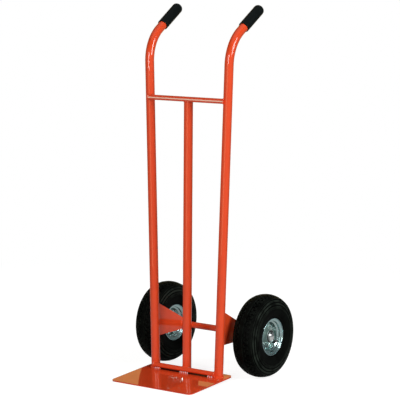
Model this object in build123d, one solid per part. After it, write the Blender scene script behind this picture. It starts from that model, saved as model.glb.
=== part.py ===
from build123d import *
import math
import os

# A crate hand truck: a welded tubular frame with a toe plate, on two pneumatic wheels.
# Millimetres. +X runs along the axle, -Y is the loading side, +Z is up.
# The origin lies on the floor, midway between the feet of the two side rails.

# Side rails, each one bent tube from the toe plate to its handle end
RAIL_DIAMETER = 28.0
RAIL_WALL = 2.0
RAIL_FOOT_SPACING = 240.0  # between the centre lines at the floor
RAIL_SPLAY = 1.72  # degrees outward from upright
RAIL_CORNER = 1040.0  # along the rail, from the floor to where its line meets the handle's
HANDLE_BEND_RADIUS = 120.0
HANDLE_RISE = 33.0  # degrees above level
HANDLE_REACH = 180.0  # from that corner to the end of the tube

# Pushed-on grips
GRIP_LENGTH = 105.0
GRIP_WALL = 3.0
GRIP_END_WALL = 9.0
GRIP_END_ROUND = 13.0
GRIP_MOUTH_ROUND = 1.2

# Crossbars and centre post
BAR_DIAMETER = 16.0
BAR_FORWARD = 12.6  # bar axis in front of the rails' plane
BAR_END_INSET = 5.3  # bar end short of the rail's centre line
UPPER_BAR_HEIGHT = 866.0
LOWER_BAR_GAP = 2.0  # between the bar and the toe plate
POST_DIAMETER = 28.0
POST_WALL = 2.0

# Toe plate, which slopes down to its nose on the floor
PLATE_WIDTH = 300.0
PLATE_FRONT = 190.0  # ahead of the rails' plane
PLATE_REAR = 33.0  # behind it
PLATE_TILT = 3.6  # degrees
PLATE_THICKNESS = 4.0
PLATE_CORNER = 14.0

# Axle and its brackets
AXLE_DIAMETER = 20.0
AXLE_SETBACK = 146.0  # behind the rails' plane
AXLE_CHAMFER = 1.5
BRACKET_THICKNESS = 5.0
BRACKET_HEIGHT = 110.0  # along the rail
BRACKET_END_RADIUS = 16.0

# Wheels
WHEEL_DIAMETER = 260.0
WHEEL_TRACK = 376.0  # between the tyres' middle planes
TYRE_WIDTH = 84.0
TREAD_WIDTH = 67.0
TREAD_THICKNESS = 10.0
SIDEWALL = 6.0
CROWN_DROP = 10.0  # from the crown to the shoulder edge
ROOT_INSET = 1.0  # where the sidewall starts, inside the rim's lip
ROOT_GAP = 1.5  # and outside it
BEAD_WIDTH = 6.0
BEAD_HEIGHT = 9.0
CENTRE_RIB_WIDTH = 12.5  # the plain rib round the middle of the tread
GROOVE_WIDTH = 2.5
GROOVE_DEPTH = 3.0
GROOVE_PITCH = 8.75  # between the ring grooves on each side of the centre rib
GROOVES_PER_SIDE = 3
SLOT_COUNT = 48  # cross slots that cut each row between two ring grooves into blocks
SLOT_WIDTH = 4.0
SLOT_DEPTH = 2.5
SIDE_GROOVE_COUNT = 3  # moulded rings below each shoulder
SIDE_GROOVE_DROP = 3.3  # along the sidewall, from the shoulder edge to the first
SIDE_GROOVE_PITCH = 9.4
SIDE_GROOVE_RADIUS = 1.8
SIDE_RIB_WIDTH = 3.0
SIDE_RIB_HEIGHT = 1.2
TUBE_WALL = 2.5

# Pressed rim halves, bolted together at the wheel's middle plane
RIM_THICKNESS = 1.8
RIM_BEND = 2.4
RIM_WIDTH = 69.0
BEAD_SEAT_DIAMETER = 101.6
FLANGE_HEIGHT = 7.7
FLANGE_LEAN = 2.0
LIP_WIDTH = 4.0
LIP_RISE = 1.0
SEAT_WIDTH = 6.0
STEP_RUN = 3.0
WELL_DROP = 5.8  # from the bead seat to the well
DISC_DROP = 5.0  # from the well to the flat disc
DISC_RUN = 5.0
BOLT_COUNT = 4
BOLT_CIRCLE = 66.0
BOLT_TURN = 45.0  # the first bolt, round from straight up
BOLT_DIAMETER = 6.0
HEX_ACROSS_FLATS = 10.0
BOLT_HEAD_HEIGHT = 4.0
NUT_HEIGHT = 5.0
BOLT_TAIL = 2.0  # thread past the nut

# Hub and roller bearing
HUB_BORE = 36.0
HUB_WALL = 3.0
HUB_LENGTH = 52.0
DUST_RING_THICKNESS = 4.0
DUST_RING_GAP = 0.5
CAGE_RELIEF = 1.5  # rollers stand out of the cage by this
CAGE_END_RING = 3.0
CAGE_BAR = 2.8  # least web between two rollers
CAGE_END_PLAY = 0.5
ROLLER_PLAY = 0.05
POCKET_PLAY = 0.15

# What holds each wheel on the axle
WASHER_DIAMETER = 30.0
WASHER_THICKNESS = 2.0
WHEEL_END_PLAY = 0.3
SPACER_WALL = 3.5
CAP_DIAMETER = 30.0
CAP_SKIRT = 3.0
CAP_DOME = 5.0
CAP_BORE_DEPTH = 4.0

# Valve in the outer rim half
VALVE_ANGLE = -33.0  # round the axle, from straight back towards up
VALVE_HOLE_X = 10.0
VALVE_TIP_OUT = 6.0  # past the end of the hub
VALVE_TIP_CLEAR = 10.0  # outside the hub
VALVE_DIAMETER = 7.6
VALVE_HOLE_PLAY = 0.3
VALVE_NECK_DIAMETER = 5.2
VALVE_CAP_DIAMETER = 8.4
VALVE_CAP_LENGTH = 9.0
VALVE_CAP_END = 1.8

FIT = 0.05  # radial room where one piece is pushed on or into another

# Worked out from the sizes above
RAIL_RADIUS = RAIL_DIAMETER / 2
WHEEL_RADIUS = WHEEL_DIAMETER / 2
AXLE_RADIUS = AXLE_DIAMETER / 2
HUB_RADIUS = HUB_BORE / 2 + HUB_WALL
HUB_END = HUB_LENGTH / 2
SEAT_RADIUS = BEAD_SEAT_DIAMETER / 2
LIP_X = RIM_WIDTH / 2
FLANGE_TOP_X = LIP_X - LIP_WIDTH
FLANGE_X = FLANGE_TOP_X - FLANGE_LEAN
FLANGE_TOP_RADIUS = SEAT_RADIUS + FLANGE_HEIGHT - LIP_RISE
LIP_RADIUS = SEAT_RADIUS + FLANGE_HEIGHT
WELL_RADIUS = SEAT_RADIUS - WELL_DROP
WASHER_INNER = HUB_END + WHEEL_END_PLAY
WASHER_OUTER = WASHER_INNER + WASHER_THICKNESS


def rail_x(height):
    """Distance of a rail's centre line from the middle plane at this height."""
    return RAIL_FOOT_SPACING / 2 + height * math.tan(math.radians(RAIL_SPLAY))


def bracket_face_x(height):
    """Distance of a bracket's outer face from the middle plane at this height."""
    return rail_x(height) + BRACKET_THICKNESS / 2 / math.cos(math.radians(RAIL_SPLAY))


def standing_bar(radius, length):
    """A solid cylinder standing on the origin."""
    return Cylinder(radius, length, align=(Align.CENTER, Align.CENTER, Align.MIN))


def x_cylinder(radius, start, end):
    """A solid cylinder along X between two places."""
    return Pos(start, 0, 0) * Rot(0, 90, 0) * standing_bar(radius, end - start)


def x_ring(outer, inner, start, end):
    """A ring or sleeve along X between two places."""
    return x_cylinder(outer, start, end) - x_cylinder(inner, start, end)


def turned(face):
    """A profile drawn as (along X, radius), turned round the X axis."""
    return revolve(Plane.XZ * face, Axis.X)


def turn_x(angle, piece):
    """A piece turned round the X axis."""
    return Rot(angle, 0, 0) * piece


# Frame


def plate_plane(height):
    """A plane this far above the toe plate's underside, with its origin over the nose."""
    tilt = math.radians(PLATE_TILT)
    up = (0, -math.sin(tilt), math.cos(tilt))
    return Plane((0, -PLATE_FRONT, 0), x_dir=(1, 0, 0), z_dir=up).offset(height)


def lower_bar_height():
    """Height of the lower crossbar's axis, set over the toe plate with its gap."""
    tilt = math.radians(PLATE_TILT)
    above = PLATE_THICKNESS + LOWER_BAR_GAP + BAR_DIAMETER / 2
    return above / math.cos(tilt) + (PLATE_FRONT - BAR_FORWARD) * math.tan(tilt)


def on_rail(side, piece):
    """Moves a piece drawn with the rail upright at the origin to the left or right rail."""
    return Pos(side * RAIL_FOOT_SPACING / 2, 0, 0) * Rot(0, side * RAIL_SPLAY, 0) * piece


def handle_point(reach):
    """The point on the handle's centre line this far past the corner, in the upright rail's plane."""
    rise = math.radians(HANDLE_RISE)
    return (reach * math.cos(rise), RAIL_CORNER + reach * math.sin(rise))


def rail_line():
    """Centre line of an upright rail: straight up, one bend backward, straight handle."""
    bend_angle = math.radians(90 - HANDLE_RISE)
    tangent = HANDLE_BEND_RADIUS * math.tan(bend_angle / 2)
    bend_start = (0, RAIL_CORNER - tangent)
    bend_end = handle_point(tangent)
    upright = Line((0, 0), bend_start)
    bend = TangentArc(bend_start, bend_end, tangent=(0, 1))
    handle = Line(bend_end, handle_point(HANDLE_REACH))
    return Plane.YZ * Wire([upright, bend, handle])


def rail(side):
    """A bent tube, cut off where it stands on the toe plate."""
    ring = Circle(RAIL_RADIUS) - Circle(RAIL_RADIUS - RAIL_WALL)
    tube = on_rail(side, sweep(ring, path=rail_line()))
    return split(tube, bisect_by=plate_plane(PLATE_THICKNESS), keep=Keep.TOP)


def rail_core(side):
    """The straight part of a rail as a full bar, for coping what is welded to it."""
    return on_rail(side, standing_bar(RAIL_RADIUS, RAIL_CORNER))


def bar_blank(height):
    """A crossbar before its ends are coped."""
    reach = rail_x(height) - BAR_END_INSET
    return Pos(0, -BAR_FORWARD, height) * x_cylinder(BAR_DIAMETER / 2, -reach, reach)


def crossbar(height):
    """A round bar set into the front inner quarter of both rails."""
    return bar_blank(height) - rail_core(-1) - rail_core(1)


def centre_post():
    """A tube from the toe plate up to the upper crossbar, coped round both bars."""
    tube = Circle(POST_DIAMETER / 2) - Circle(POST_DIAMETER / 2 - POST_WALL)
    post = split(extrude(tube, UPPER_BAR_HEIGHT), bisect_by=plate_plane(PLATE_THICKNESS), keep=Keep.TOP)
    return post - bar_blank(UPPER_BAR_HEIGHT) - bar_blank(lower_bar_height())


def toe_plate():
    """A flat sheet with rounded corners, its nose on the floor and its heel clear of it."""
    depth = (PLATE_FRONT + PLATE_REAR) / math.cos(math.radians(PLATE_TILT))
    sheet = Pos(0, depth / 2) * RectangleRounded(PLATE_WIDTH, depth, PLATE_CORNER)
    return plate_plane(0) * extrude(sheet, PLATE_THICKNESS)


def tangent_point(point, centre, radius):
    """Where the line from a point touches the upper side of a circle."""
    away = math.atan2(point[1] - centre[1], point[0] - centre[0])
    half = math.acos(radius / math.dist(point, centre))
    angle = away - half
    return (centre[0] + radius * math.cos(angle), centre[1] + radius * math.sin(angle))


def axle_bracket(side):
    """A flat gusset from the rail's back to the axle: level foot, sloping top, round end.

    It lies in the plane of the leaning rail, and its hole follows the level axle.
    """
    axle_centre = (AXLE_SETBACK, WHEEL_RADIUS / math.cos(math.radians(RAIL_SPLAY)))
    foot_height = axle_centre[1] - BRACKET_END_RADIUS
    top = (0, foot_height + BRACKET_HEIGHT)
    shoulder = tangent_point(top, axle_centre, BRACKET_END_RADIUS)
    foot = (0, foot_height)
    toe = (AXLE_SETBACK, foot_height)
    face = make_face(Polyline(foot, toe, axle_centre, shoulder, top, close=True))
    face += Pos(*axle_centre) * Circle(BRACKET_END_RADIUS)
    plate = on_rail(side, extrude(Plane.YZ * face, BRACKET_THICKNESS / 2, both=True))
    reach = bracket_face_x(WHEEL_RADIUS + BRACKET_END_RADIUS)
    axle_room = x_cylinder(AXLE_RADIUS + FIT, -reach, reach)
    return plate - rail_core(side) - Pos(0, AXLE_SETBACK, WHEEL_RADIUS) * axle_room


def grip(side):
    """A closed sleeve with a rounded end, pushed onto the handle."""
    bore = RAIL_RADIUS + FIT
    outside = bore + GRIP_WALL
    sleeve = standing_bar(outside, GRIP_LENGTH)
    sleeve = fillet(sleeve.edges().filter_by(GeomType.CIRCLE).sort_by(Axis.Z)[-1], GRIP_END_ROUND)
    sleeve = fillet(sleeve.edges().filter_by(GeomType.CIRCLE).sort_by(Axis.Z)[0], GRIP_MOUTH_ROUND)
    sleeve -= standing_bar(bore, GRIP_LENGTH - GRIP_END_WALL)
    mouth_y, mouth_z = handle_point(HANDLE_REACH + GRIP_END_WALL - GRIP_LENGTH)
    rise = math.radians(HANDLE_RISE)
    seat = Plane((0, mouth_y, mouth_z), x_dir=(1, 0, 0), z_dir=(0, math.cos(rise), math.sin(rise)))
    return on_rail(side, seat * sleeve)


def axle():
    """One straight bar through both brackets, with a wheel and a cap on each end."""
    end = WHEEL_TRACK / 2 + WASHER_OUTER + CAP_BORE_DEPTH
    bar = x_cylinder(AXLE_RADIUS, -end, end)
    bar = chamfer(bar.edges().filter_by(GeomType.CIRCLE), AXLE_CHAMFER)
    return Pos(0, AXLE_SETBACK, WHEEL_RADIUS) * bar


# Wheel pieces, drawn with the wheel's middle at the origin and its outer face to +X


def at_wheel(side, piece):
    """Moves a wheel piece to the right end of the axle, or mirrors it to the left end."""
    turned_out = piece if side > 0 else mirror(piece, about=Plane.YZ)
    return Pos(side * WHEEL_TRACK / 2, AXLE_SETBACK, WHEEL_RADIUS) * turned_out


def crown_radius(x):
    """Radius of the tyre's crown at this distance from its middle plane."""
    half = TREAD_WIDTH / 2
    arc = (half**2 + CROWN_DROP**2) / (2 * CROWN_DROP)
    return WHEEL_RADIUS - arc + math.sqrt(arc**2 - x**2)


def groove_x(ring):
    """Distance of a ring groove's middle from the tyre's middle plane."""
    return CENTRE_RIB_WIDTH / 2 + GROOVE_WIDTH / 2 + ring * GROOVE_PITCH


def tyre_corners():
    """Root, widest point and shoulder of the outer sidewall, as (along X, radius)."""
    root = (LIP_X - ROOT_INSET, LIP_RADIUS + ROOT_GAP)
    shoulder = (TREAD_WIDTH / 2, WHEEL_RADIUS - CROWN_DROP)
    widest = (TYRE_WIDTH / 2 - SIDE_RIB_HEIGHT, (root[1] + shoulder[1]) / 2)
    return root, widest, shoulder


def inner_corners():
    """The same corners on the inside of the tyre."""
    root, widest, shoulder = tyre_corners()
    inner_root = (FLANGE_X - BEAD_WIDTH, SEAT_RADIUS + BEAD_HEIGHT)
    inner_widest = (widest[0] - SIDEWALL, widest[1])
    inner_shoulder = (shoulder[0] - SIDEWALL, shoulder[1] - TREAD_THICKNESS / 2)
    return inner_root, inner_widest, inner_shoulder


def both_sides(edges):
    """Edges together with their mirror images across the tyre's middle plane."""
    return edges + [mirror(edge, about=Plane.YZ) for edge in edges]


def crown_arc(shoulder, radius):
    """The arc across the tread from one shoulder to the other."""
    return ThreePointArc(shoulder, (0, radius), (-shoulder[0], shoulder[1]))


def cavity_face():
    """The room inside the tyre above its beads, which the inner tube fills."""
    root, widest, shoulder = inner_corners()
    edges = both_sides([ThreePointArc(root, widest, shoulder)])
    edges.append(crown_arc(shoulder, WHEEL_RADIUS - TREAD_THICKNESS))
    edges.append(Line(root, (-root[0], root[1])))
    return make_face(edges)


def tyre_face():
    """Section of the tyre: beads on the rim, round sidewalls with rings, a grooved crown."""
    root, widest, shoulder = tyre_corners()
    seat = SEAT_RADIUS + FIT
    toe = (FLANGE_X - BEAD_WIDTH, seat)
    heel = (FLANGE_X - RIM_BEND, seat)
    back = (FLANGE_X - FIT + FLANGE_LEAN * RIM_BEND / FLANGE_HEIGHT, SEAT_RADIUS + RIM_BEND)
    over_lip = (FLANGE_TOP_X - FIT, FLANGE_TOP_RADIUS + FIT)
    inner_root = inner_corners()[0]
    half = [
        Polyline(inner_root, toe, heel, back, over_lip, root),
        ThreePointArc(root, widest, shoulder),
    ]
    edges = both_sides(half)
    edges.append(crown_arc(shoulder, WHEEL_RADIUS))
    edges.append(Line(inner_root, (-inner_root[0], inner_root[1])))
    face = make_face(edges) - cavity_face()
    rib = Rectangle(2 * SIDE_RIB_HEIGHT, SIDE_RIB_WIDTH)
    sidewall = half[1]
    for side in (-1, 1):
        for ring in range(GROOVES_PER_SIDE):
            x = groove_x(ring)
            face -= Pos(side * x, crown_radius(x)) * Rectangle(GROOVE_WIDTH, 2 * GROOVE_DEPTH)
        for ring in range(SIDE_GROOVE_COUNT):
            drop = SIDE_GROOVE_DROP + ring * SIDE_GROOVE_PITCH
            place = sidewall @ (1 - drop / sidewall.length)
            face -= Pos(side * place.X, place.Y) * Circle(SIDE_GROOVE_RADIUS)
        face += Pos(side * widest[0], widest[1]) * rib
    return face


def tyre():
    """The tyre, with rows of blocks between its ring grooves, each row half a block on from the last."""
    body = turned(tyre_face())
    pitch = 360 / SLOT_COUNT
    slots = []
    for row in range(GROOVES_PER_SIDE - 1):
        x = (groove_x(row) + groove_x(row + 1)) / 2
        slot = Pos(x, 0, crown_radius(x)) * Box(GROOVE_PITCH, SLOT_WIDTH, 2 * SLOT_DEPTH)
        slots += [turn_x((step + row / 2) * pitch, slot) for step in range(SLOT_COUNT)]
    slots += [mirror(slot, about=Plane.YZ) for slot in slots]
    return body - slots


def inner_tube():
    """A hollow rubber ring filling the tyre's cavity."""
    outside = offset(cavity_face(), -FIT)
    return turned(outside - offset(outside, -TUBE_WALL))


def rim_half():
    """The outer pressed half of the rim: flat disc, well, bead seat, flange and lip."""
    step_x = FLANGE_X - SEAT_WIDTH
    path = FilletPolyline(
        (0, HUB_RADIUS + FIT),
        (0, WELL_RADIUS - DISC_DROP),
        (DISC_RUN, WELL_RADIUS),
        (step_x - STEP_RUN, WELL_RADIUS),
        (step_x, SEAT_RADIUS),
        (FLANGE_X, SEAT_RADIUS),
        (FLANGE_TOP_X, FLANGE_TOP_RADIUS),
        (LIP_X, LIP_RADIUS),
        radius=RIM_BEND,
    )
    section = make_face(offset(path, amount=RIM_THICKNESS, side=Side.RIGHT))
    hole = x_cylinder(BOLT_DIAMETER / 2 + FIT, -RIM_THICKNESS, 2 * RIM_THICKNESS)
    return turned(section) - round_bolts(hole)


def round_bolts(piece):
    """Copies of a piece drawn on the axis, one at each place on the bolt circle."""
    turns = [BOLT_TURN + step * 360 / BOLT_COUNT for step in range(BOLT_COUNT)]
    return [turn_x(turn, Pos(0, 0, BOLT_CIRCLE / 2) * piece) for turn in turns]


def hexagon(start, end):
    """A hexagonal prism along X between two places."""
    prism = extrude(RegularPolygon(HEX_ACROSS_FLATS / 2, 6, major_radius=False), end - start)
    return Pos(start, 0, 0) * Rot(0, 90, 0) * prism


def rim_bolts():
    """Hexagon bolts with their heads on the outer side."""
    head = hexagon(RIM_THICKNESS, RIM_THICKNESS + BOLT_HEAD_HEIGHT)
    shank = x_cylinder(BOLT_DIAMETER / 2, -(RIM_THICKNESS + NUT_HEIGHT + BOLT_TAIL), RIM_THICKNESS)
    return Compound(round_bolts(head + shank))


def rim_nuts():
    """Hexagon nuts on the inner side."""
    start = -(RIM_THICKNESS + NUT_HEIGHT)
    nut = hexagon(start, -RIM_THICKNESS) - x_cylinder(BOLT_DIAMETER / 2 + FIT, start, -RIM_THICKNESS)
    return Compound(round_bolts(nut))


def dust_ring():
    """A ring pressed into the hub's outer end, clear of the axle."""
    start = HUB_END - DUST_RING_THICKNESS
    return x_ring(HUB_BORE / 2 - FIT, AXLE_RADIUS + DUST_RING_GAP, start, HUB_END)


def bearing():
    """The roller cage and its rollers, which run on the axle and in the hub's bore."""
    middle = (HUB_BORE / 2 + AXLE_RADIUS) / 2
    roller_radius = (HUB_BORE / 2 - AXLE_RADIUS) / 2 - ROLLER_PLAY
    half = HUB_END - DUST_RING_THICKNESS - CAGE_END_PLAY
    pocket = half - CAGE_END_RING
    count = int(2 * math.pi * middle / (2 * roller_radius + CAGE_BAR))
    web = roller_radius - CAGE_RELIEF
    turns = [step * 360 / count for step in range(count)]
    slot = Pos(0, 0, middle) * x_cylinder(roller_radius + POCKET_PLAY, -pocket, pocket)
    roller = Pos(0, 0, middle) * x_cylinder(roller_radius, POCKET_PLAY - pocket, pocket - POCKET_PLAY)
    cage = x_ring(middle + web, middle - web, -half, half) - [turn_x(turn, slot) for turn in turns]
    return cage, Compound([turn_x(turn, roller) for turn in turns])


def valve_frame():
    """The valve's axis: from the hole in the rim's well to a tip beside the hub's outer end."""
    hole = Vector(VALVE_HOLE_X, 0, WELL_RADIUS - RIM_THICKNESS / 2)
    tip = Vector(HUB_END + VALVE_TIP_OUT, 0, HUB_RADIUS + VALVE_TIP_CLEAR)
    return Plane(hole, x_dir=(0, 1, 0), z_dir=tip - hole), (tip - hole).length


def at_valve(piece):
    """Turns a piece drawn in the plane above the axle to the valve's place round the wheel."""
    return turn_x(VALVE_ANGLE - 90, piece)


def valve_bar(radius, start, end):
    """A cylinder along the valve's axis between two distances from the hole."""
    frame = valve_frame()[0]
    return at_valve(frame * Pos(0, 0, start) * standing_bar(radius, end - start))


def valve_stem():
    """A stem that stands on the inner tube and leans out through the rim, with a threaded neck."""
    frame, length = valve_frame()
    neck_start = length - VALVE_CAP_LENGTH
    tube_room = turned(offset(cavity_face(), -FIT))
    rise = SEAT_RADIUS + 2 * BEAD_HEIGHT - frame.origin.Z
    root = Sphere(VALVE_DIAMETER / 2) + standing_bar(VALVE_DIAMETER / 2, rise)
    stem = at_valve(Pos(frame.origin) * root) - tube_room
    stem += valve_bar(VALVE_DIAMETER / 2, 0, neck_start)
    return stem + valve_bar(VALVE_NECK_DIAMETER / 2, neck_start, length - VALVE_CAP_END)


def valve_cap():
    """A closed cap screwed over the neck."""
    length = valve_frame()[1]
    start = length - VALVE_CAP_LENGTH
    return valve_bar(VALVE_CAP_DIAMETER / 2, start, length) - valve_bar(
        VALVE_NECK_DIAMETER / 2 + FIT, start, length - VALVE_CAP_END
    )


def axle_cap():
    """A domed cap pushed onto the end of the axle."""
    radius = CAP_DIAMETER / 2
    apex = WASHER_OUTER + CAP_SKIRT + CAP_DOME
    ball = (radius**2 + CAP_DOME**2) / (2 * CAP_DOME)
    dome = CenterArc((apex - ball, 0), ball, 0, math.degrees(math.asin(radius / ball)))
    foot = (WASHER_OUTER, radius)
    base = Polyline((apex, 0), (WASHER_OUTER, 0), foot, (WASHER_OUTER + CAP_SKIRT, radius))
    bore = x_cylinder(AXLE_RADIUS + FIT, WASHER_OUTER, WASHER_OUTER + CAP_BORE_DEPTH)
    return turned(make_face([dome, base])) - bore


def wheel_pieces():
    """Every piece of one wheel and of what holds it, by name."""
    cage, rollers = bearing()
    outer_rim = rim_half()
    valve_hole = valve_bar(VALVE_DIAMETER / 2 + VALVE_HOLE_PLAY, -BEAD_HEIGHT, BEAD_HEIGHT)
    ring = dust_ring()
    spacer_radius = AXLE_RADIUS + SPACER_WALL
    spacer_start = bracket_face_x(WHEEL_RADIUS + spacer_radius) - WHEEL_TRACK / 2
    axle_room = AXLE_RADIUS + FIT
    return {
        "tyre": tyre(),
        "inner_tube": inner_tube(),
        "outer_rim": outer_rim - valve_hole,
        "inner_rim": mirror(outer_rim, about=Plane.YZ),
        "rim_bolts": rim_bolts(),
        "rim_nuts": rim_nuts(),
        "hub": x_ring(HUB_RADIUS, HUB_BORE / 2, -HUB_END, HUB_END),
        "outer_dust_ring": ring,
        "inner_dust_ring": mirror(ring, about=Plane.YZ),
        "valve_stem": valve_stem(),
        "valve_cap": valve_cap(),
        "roller_cage": cage,
        "rollers": rollers,
        "spacer": x_ring(spacer_radius, axle_room, spacer_start, -WASHER_OUTER),
        "inner_washer": x_ring(WASHER_DIAMETER / 2, axle_room, -WASHER_OUTER, -WASHER_INNER),
        "outer_washer": x_ring(WASHER_DIAMETER / 2, axle_room, WASHER_INNER, WASHER_OUTER),
        "axle_cap": axle_cap(),
    }


def all_pieces():
    """Every piece of the hand truck in its place, by node name."""
    pieces = {
        "toe_plate": toe_plate(),
        "centre_post": centre_post(),
        "upper_crossbar": crossbar(UPPER_BAR_HEIGHT),
        "lower_crossbar": crossbar(lower_bar_height()),
        "axle": axle(),
    }
    wheel = wheel_pieces()
    for name, side in (("left", -1), ("right", 1)):
        pieces[f"{name}_rail"] = rail(side)
        pieces[f"{name}_axle_bracket"] = axle_bracket(side)
        pieces[f"{name}_grip"] = grip(side)
        for piece_name, piece in wheel.items():
            pieces[f"{name}_{piece_name}"] = at_wheel(side, piece)
    return pieces


os.makedirs("parts", exist_ok=True)
for node, solid in all_pieces().items():
    export_step(solid, f"parts/{node}.step")
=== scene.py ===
import bmesh
import bpy
import numpy as np
from bpy.props import FloatProperty, FloatVectorProperty, IntProperty, PointerProperty
from mathutils import Matrix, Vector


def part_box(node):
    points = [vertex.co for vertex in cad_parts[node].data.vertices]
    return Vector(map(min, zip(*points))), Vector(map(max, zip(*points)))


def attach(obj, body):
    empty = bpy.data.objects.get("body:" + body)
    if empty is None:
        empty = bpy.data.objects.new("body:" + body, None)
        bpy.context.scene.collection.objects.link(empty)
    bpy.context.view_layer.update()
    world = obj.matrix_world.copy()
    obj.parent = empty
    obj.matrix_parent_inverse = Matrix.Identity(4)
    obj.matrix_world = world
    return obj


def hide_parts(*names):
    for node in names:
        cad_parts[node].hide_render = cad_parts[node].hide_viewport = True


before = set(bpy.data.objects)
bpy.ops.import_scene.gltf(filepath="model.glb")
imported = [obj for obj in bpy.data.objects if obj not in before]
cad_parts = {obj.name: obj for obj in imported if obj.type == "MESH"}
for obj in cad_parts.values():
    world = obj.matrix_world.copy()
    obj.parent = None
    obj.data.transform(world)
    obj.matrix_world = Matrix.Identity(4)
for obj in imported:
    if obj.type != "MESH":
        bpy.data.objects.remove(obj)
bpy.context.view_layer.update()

bl_info = {
    "name": "Crate Hand Truck",
    "version": (1, 0, 0),
    "blender": (4, 5, 0),
    "location": "View3D > Sidebar > Hand Truck",
    "description": "Builds the surfaces, finishes and studio of a crate hand truck round its solid model",
    "category": "Object",
}

# Metres, in the frame of the solid model: +X along the axle, -Y the loading side, +Z up.
MM = 0.001
SIDES = (("left", -1), ("right", 1))
BARS = ("upper_crossbar", "lower_crossbar")
TURN = 2 * np.pi


def linear(colour):
    """An sRGB hex colour as linear red, green and blue."""
    srgb = np.array([int(colour[at:at + 2], 16) for at in (1, 3, 5)]) / 255
    low, high = srgb / 12.92, ((srgb + 0.055) / 1.055) ** 2.4
    return tuple(np.where(srgb <= 0.04045, low, high).tolist())


def middle(node):
    """Middle of a solid's box."""
    low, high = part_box(node)
    return np.array((low + high) / 2)


def round_size(node):
    """Start and end along X and outer radius of a round solid, from its box."""
    low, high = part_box(node)
    return low.x, high.x, (high.z - low.z) / 2


def number(label, note, value):
    """A plain number that a user can set."""
    return FloatProperty(name=label, description=note, default=value, min=0)


def length(label, note, mm):
    """A size that a user can set, given in millimetres and kept in metres."""
    return FloatProperty(name=label, description=note, default=mm * MM, min=0, unit="LENGTH", precision=4)


def angle(label, note, degrees):
    """An angle that a user can set, given in degrees."""
    return FloatProperty(name=label, description=note, default=float(np.radians(degrees)), subtype="ANGLE")


def colour(label, note, value):
    """A colour that a user can set, given as sRGB hex."""
    limits = {"size": 3, "min": 0, "max": 1, "subtype": "COLOR"}
    return FloatVectorProperty(name=label, description=note, default=linear(value), **limits)


class TruckFrameSettings(bpy.types.PropertyGroup):
    """Sizes and colours of the welded frame and its grips."""

    foot_spacing: length("Foot spacing", "Between the rails' centre lines at the floor", 240)
    splay: angle("Splay", "Lean of each rail outward from upright", 1.72)
    corner: length("Corner", "Along a rail, from the floor to where its line meets the handle's", 1040)
    bend_radius: length("Bend radius", "Of a rail's centre line where it turns to the handle", 120)
    rise: angle("Handle rise", "Of the handles above level", 33)
    reach: length("Handle reach", "From the corner to the end of the tube", 180)
    tube_wall: length("Tube wall", "Wall of the rails and the post", 2)
    plate_front: length("Plate front", "Of the toe plate ahead of the rails' plane", 190)
    plate_rear: length("Plate rear", "Of the toe plate behind that plane", 33)
    plate_tilt: angle("Plate tilt", "Of the toe plate, down to its nose on the floor", 3.6)
    plate_sheet: length("Plate sheet", "Thickness of the toe plate", 4)
    plate_corner: length("Plate corner", "Radius of the toe plate's corners", 14)
    plate_edge: length("Plate edge", "Rounding of the toe plate's sheared edge", 1.2)
    bracket_height: length("Bracket height", "Along the rail", 110)
    bracket_end: length("Bracket end", "Radius of a bracket's end round the axle", 16)
    bracket_sheet: length("Bracket sheet", "Thickness of a bracket", 5)
    grip_wall: length("Grip wall", "Thickness of a grip's sleeve", 3)
    grip_length: length("Grip length", "Along the handle", 105)
    grip_cap: length("Grip cap", "Thickness of a grip's closed end", 9)
    weld_size: length("Weld size", "Radius of a weld bead", 2.6)
    ripple: length("Weld ripple", "Between the ripples of a weld bead", 3)
    enamel: colour("Enamel", "Orange stoved enamel", "#E64E24")
    enamel_deep: colour("Enamel, thin", "Where the film lies thinner", "#DB4520")
    grip: colour("Grip", "Black soft PVC", "#090E0E")


class TruckWheelSettings(bpy.types.PropertyGroup):
    """Sizes and colours of the pneumatic wheels."""

    tread_width: length("Tread width", "Across the crown, edge to edge", 67)
    crown_drop: length("Crown drop", "From the crown to the shoulder edge", 10)
    centre_rib: length("Centre rib", "Width of the plain rib round the middle of the tread", 12.5)
    groove_width: length("Groove width", "Of the ring grooves", 2.5)
    groove_depth: length("Groove depth", "Of the ring grooves", 3)
    groove_pitch: length("Groove pitch", "Between ring grooves on one side", 8.75)
    slot_count: IntProperty(name="Slots", description="Cross slots in each row of blocks", default=48, min=3)
    slot_depth: length("Slot depth", "Of the cross slots", 2.5)
    zigzag: length("Zigzag", "Sway of the ring grooves to each side", 1.1)
    side_rib: length("Side rib", "Height of the ring at the widest point", 1.2)
    bead_seat: length("Bead seat", "Diameter that the tyre's beads sit on", 101.6)
    flange: length("Flange", "Height of the rim's flange", 7.7)
    seat_width: length("Seat width", "Of the rim's bead seat", 6)
    well_drop: length("Well drop", "From the bead seat to the well", 5.8)
    sheet: length("Rim sheet", "Thickness of the pressed rim halves", 1.8)
    hub_wall: length("Hub wall", "Thickness of the hub's tube", 3)
    bolt_circle: length("Bolt circle", "Diameter that the rim bolts lie on", 66)
    hexagon: length("Hexagon", "Across the flats of bolts and nuts", 10)
    bolt: length("Bolt", "Thread diameter", 6)
    valve_angle: angle("Valve angle", "Round the axle, from straight back towards up", -33)
    rubber: colour("Tyre rubber", "Carbon-black rubber in the grooves", "#010101")
    # Also the colour of the painted highlight on the grooves' lips
    bloom: colour("Rubber bloom", "Scuffed rubber, with wax and dust", "#272D28")
    zinc: colour("Zinc plate", "Blue-passivated zinc", "#CDDBD7")
    zinc_tint: colour("Zinc tint", "Where the passivation is thicker", "#9CCBD4")


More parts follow.
